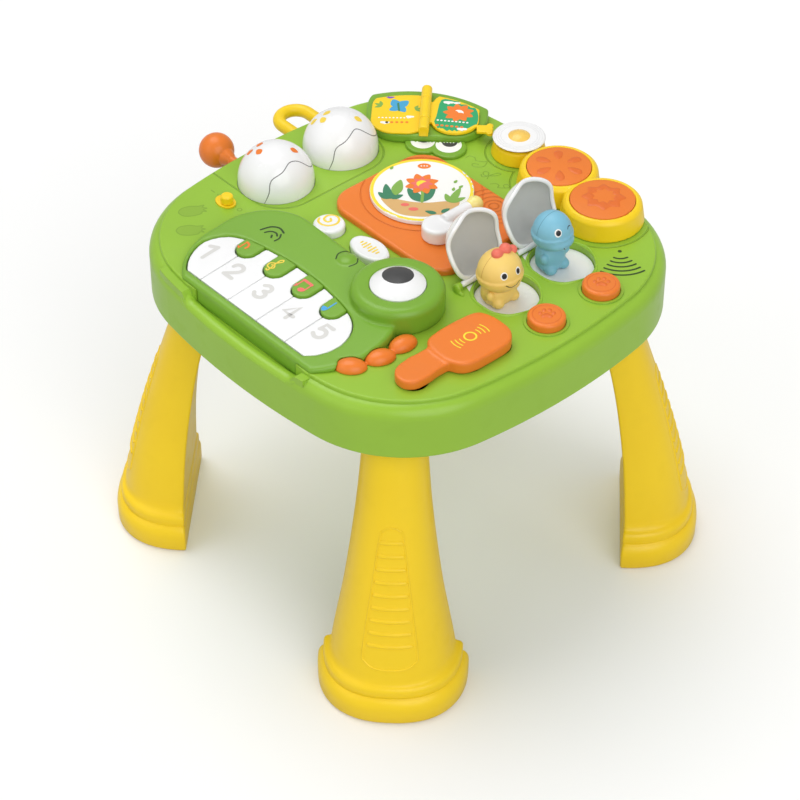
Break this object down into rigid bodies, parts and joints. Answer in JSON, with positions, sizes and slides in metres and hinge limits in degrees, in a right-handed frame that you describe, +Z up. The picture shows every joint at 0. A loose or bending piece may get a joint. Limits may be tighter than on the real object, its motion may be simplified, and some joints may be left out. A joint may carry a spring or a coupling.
{
  "type": "toddler activity table",
  "caption": "Rounded square toddler activity table on four flared legs, its top full of pressing, turning, flipping and hatching sound toys around a crocodile-mouth piano.",
  "frame": {"origin": "on the floor, under the middle of the whole outline, 12.4 mm from the middle of the top towards the push eggs, because the ball reaches out on that side", "axes": "+Z up; the piano side faces -Y, the hatching eggs are on the +X side, the drums on the +Y side and the push eggs on the -X side"},
  "size_m": [0.4307, 0.4058, 0.365],
  "materials": {
    "light_green": "smooth satin moulding",
    "deep_green": "smooth satin moulding",
    "yellow": "smooth satin moulding",
    "orange": "smooth satin moulding",
    "white": "glossy",
    "soft_yellow": "smooth, matte to the eye",
    "soft_blue": "smooth, matte to the eye",
    "steel": "bright drawn wire",
    "grey_rubber": "soft matt contact mat",
    "board_green": "lacquered board",
    "dark_plastic": "dull"
  },
  "bodies": {
    "table": {"top_shell": "light_green", "bottom_shell": "light_green", "battery_door": "light_green", "battery_cells": "dark_plastic", "case_screws": "steel", "leg_front_right": "yellow", "leg_rear_right": "yellow", "leg_rear_left": "yellow", "leg_front_left": "yellow", "circuit_board": "board_green", "speaker": "dark_plastic", "crocodile_head": "deep_green", "crest_spikes": "orange", "key_axle": "steel", "key_mat": "grey_rubber", "turntable_base": "orange", "turntable_spindle": "white", "book_base": "deep_green", "book_page_left": "yellow", "book_spine_pin": "steel", "frog_eyes": "light_green", "drum_housing": "yellow", "lid_hinge_pins": "steel", "switch_plate": "yellow"},
    "key_1": {"key_1": "white"},
    "key_2": {"key_2": "white"},
    "key_3": {"key_3": "white"},
    "key_4": {"key_4": "white"},
    "key_5": {"key_5": "white"},
    "note_key_1": {"note_key_1": "deep_green"},
    "note_key_2": {"note_key_2": "deep_green"},
    "note_key_3": {"note_key_3": "deep_green"},
    "note_key_4": {"note_key_4": "deep_green"},
    "eye_button": {"eye_button": "white"},
    "spiral_button": {"spiral_button": "white"},
    "oval_button": {"oval_button": "white"},
    "egg_1": {"egg_1": "white"},
    "egg_2": {"egg_2": "white"},
    "ball_lever": {"ball_lever": "orange"},
    "ring_lever": {"ring_lever": "yellow"},
    "switch_knob": {"switch_knob": "yellow"},
    "turntable_disc": {"turntable_disc": "white"},
    "tone_arm": {"tone_arm": "white"},
    "book_page": {"book_page": "yellow"},
    "cymbal": {"cymbal": "white"},
    "drum_pad_right": {"drum_pad_right": "orange"},
    "drum_pad_middle": {"drum_pad_middle": "orange"},
    "lid_left": {"lid_left": "white"},
    "lid_right": {"lid_right": "white"},
    "paw_button_1": {"paw_button_1": "orange"},
    "paw_button_2": {"paw_button_2": "orange"},
    "shaker": {"shaker": "orange"},
    "nest_left": {"nest_plate_left": "white", "hatchling_yellow": "soft_yellow"},
    "nest_right": {"nest_plate_right": "white", "hatchling_blue": "soft_blue"}
  },
  "joints": [
    {"name": "key_1_hinge", "type": "hinge", "parent": "table", "child": "key_1", "pos_m": [0.0124, -0.078, 0.302], "axis": [1, 0, 0], "range_deg": [0, 3], "stiffness_Nm_per_rad": 1, "springref_deg": -2.29},
    {"name": "key_2_hinge", "type": "hinge", "parent": "table", "child": "key_2", "pos_m": [0.0124, -0.078, 0.302], "axis": [1, 0, 0], "range_deg": [0, 3], "stiffness_Nm_per_rad": 1, "springref_deg": -2.29},
    {"name": "key_3_hinge", "type": "hinge", "parent": "table", "child": "key_3", "pos_m": [0.0124, -0.078, 0.302], "axis": [1, 0, 0], "range_deg": [0, 3], "stiffness_Nm_per_rad": 1, "springref_deg": -2.29},
    {"name": "key_4_hinge", "type": "hinge", "parent": "table", "child": "key_4", "pos_m": [0.0124, -0.078, 0.302], "axis": [1, 0, 0], "range_deg": [0, 3], "stiffness_Nm_per_rad": 1, "springref_deg": -2.29},
    {"name": "key_5_hinge", "type": "hinge", "parent": "table", "child": "key_5", "pos_m": [0.0124, -0.078, 0.302], "axis": [1, 0, 0], "range_deg": [0, 3], "stiffness_Nm_per_rad": 1, "springref_deg": -2.29},
    {"name": "note_key_1_hinge", "type": "hinge", "parent": "table", "child": "note_key_1", "pos_m": [0.0124, -0.078, 0.302], "axis": [1, 0, 0], "range_deg": [0, 3], "stiffness_Nm_per_rad": 1, "springref_deg": -2.29},
    {"name": "note_key_2_hinge", "type": "hinge", "parent": "table", "child": "note_key_2", "pos_m": [0.0124, -0.078, 0.302], "axis": [1, 0, 0], "range_deg": [0, 3], "stiffness_Nm_per_rad": 1, "springref_deg": -2.29},
    {"name": "note_key_3_hinge", "type": "hinge", "parent": "table", "child": "note_key_3", "pos_m": [0.0124, -0.078, 0.302], "axis": [1, 0, 0], "range_deg": [0, 3], "stiffness_Nm_per_rad": 1, "springref_deg": -2.29},
    {"name": "note_key_4_hinge", "type": "hinge", "parent": "table", "child": "note_key_4", "pos_m": [0.0124, -0.078, 0.302], "axis": [1, 0, 0], "range_deg": [0, 3], "stiffness_Nm_per_rad": 1, "springref_deg": -2.29},
    {"name": "eye_button_press", "type": "slide", "parent": "table", "child": "eye_button", "axis": [0, 0, -1], "range_m": [0, 0.003], "stiffness_N_per_m": 500, "springref_m": -0.002},
    {"name": "spiral_button_press", "type": "slide", "parent": "table", "child": "spiral_button", "axis": [0, 0, -1], "range_m": [0, 0.0025], "stiffness_N_per_m": 400, "springref_m": -0.0015},
    {"name": "oval_button_press", "type": "slide", "parent": "table", "child": "oval_button", "axis": [0, 0, -1], "range_m": [0, 0.0025], "stiffness_N_per_m": 400, "springref_m": -0.0015},
    {"name": "paw_button_1_press", "type": "slide", "parent": "table", "child": "paw_button_1", "axis": [0, 0, -1], "range_m": [0, 0.0025], "stiffness_N_per_m": 400, "springref_m": -0.0015},
    {"name": "paw_button_2_press", "type": "slide", "parent": "table", "child": "paw_button_2", "axis": [0, 0, -1], "range_m": [0, 0.0025], "stiffness_N_per_m": 400, "springref_m": -0.0015},
    {"name": "shaker_press", "type": "slide", "parent": "table", "child": "shaker", "axis": [0, 0, -1], "range_m": [0, 0.0025], "stiffness_N_per_m": 600, "springref_m": -0.002},
    {"name": "drum_pad_right_press", "type": "slide", "parent": "table", "child": "drum_pad_right", "axis": [0, 0, -1], "range_m": [0, 0.002], "stiffness_N_per_m": 600, "springref_m": -0.0015},
    {"name": "drum_pad_middle_press", "type": "slide", "parent": "table", "child": "drum_pad_middle", "axis": [0, 0, -1], "range_m": [0, 0.002], "stiffness_N_per_m": 600, "springref_m": -0.0015},
    {"name": "cymbal_press", "type": "slide", "parent": "table", "child": "cymbal", "axis": [0, 0, -1], "range_m": [0, 0.002], "stiffness_N_per_m": 400, "springref_m": -0.001},
    {"name": "egg_1_press", "type": "slide", "parent": "table", "child": "egg_1", "axis": [0, 0, -1], "range_m": [0, 0.008], "stiffness_N_per_m": 300, "springref_m": -0.006},
    {"name": "egg_2_press", "type": "slide", "parent": "table", "child": "egg_2", "axis": [0, 0, -1], "range_m": [0, 0.008], "stiffness_N_per_m": 300, "springref_m": -0.006},
    {"name": "ball_lever_slide", "type": "slide", "parent": "table", "child": "ball_lever", "axis": [-1, 0, 0], "range_m": [0, 0.008]},
    {"name": "ring_lever_slide", "type": "slide", "parent": "table", "child": "ring_lever", "axis": [-1, 0, 0], "range_m": [0, 0.008]},
    {"name": "switch_slide", "type": "slide", "parent": "table", "child": "switch_knob", "axis": [-1, 0, 0], "range_m": [0, 0.004]},
    {"name": "turntable_spin", "type": "hinge", "parent": "table", "child": "turntable_disc", "pos_m": [-0.0191, 0.045, 0.305], "axis": [0, 0, 1], "continuous": true},
    {"name": "tone_arm_swing", "type": "hinge", "parent": "table", "child": "tone_arm", "pos_m": [0.0324, 0.016, 0.305], "axis": [0, 0, 1], "range_deg": [-10, 25]},
    {"name": "book_page_turn", "type": "hinge", "parent": "table", "child": "book_page", "pos_m": [-0.0996, 0.1216, 0.3184], "axis": [0.7071, -0.7071, 0], "range_deg": [0, 150]},
    {"name": "lid_left_hinge", "type": "hinge", "parent": "table", "child": "lid_left", "pos_m": [0.0904, 0.012, 0.3086], "axis": [0, 1, 0], "range_deg": [0, 106], "stiffness_Nm_per_rad": 0.02, "springref_deg": -85.94},
    {"name": "nest_left_sink", "type": "slide", "parent": "table", "child": "nest_left", "axis": [0, 0, -1], "range_m": [0, 0.031]},
    {"name": "lid_right_hinge", "type": "hinge", "parent": "table", "child": "lid_right", "pos_m": [0.0904, 0.0735, 0.3086], "axis": [0, 1, 0], "range_deg": [0, 106], "stiffness_Nm_per_rad": 0.02, "springref_deg": -85.94},
    {"name": "nest_right_sink", "type": "slide", "parent": "table", "child": "nest_right", "axis": [0, 0, -1], "range_m": [0, 0.031]}
  ],
  "couplings": [
    {"joint": "ball_lever_slide", "follows": "egg_1_press", "ratio": 1},
    {"joint": "ring_lever_slide", "follows": "egg_2_press", "ratio": 1},
    {"joint": "nest_left_sink", "follows": "lid_left_hinge", "m_per_rad": 0.016751},
    {"joint": "nest_right_sink", "follows": "lid_right_hinge", "m_per_rad": 0.016751}
  ]
}
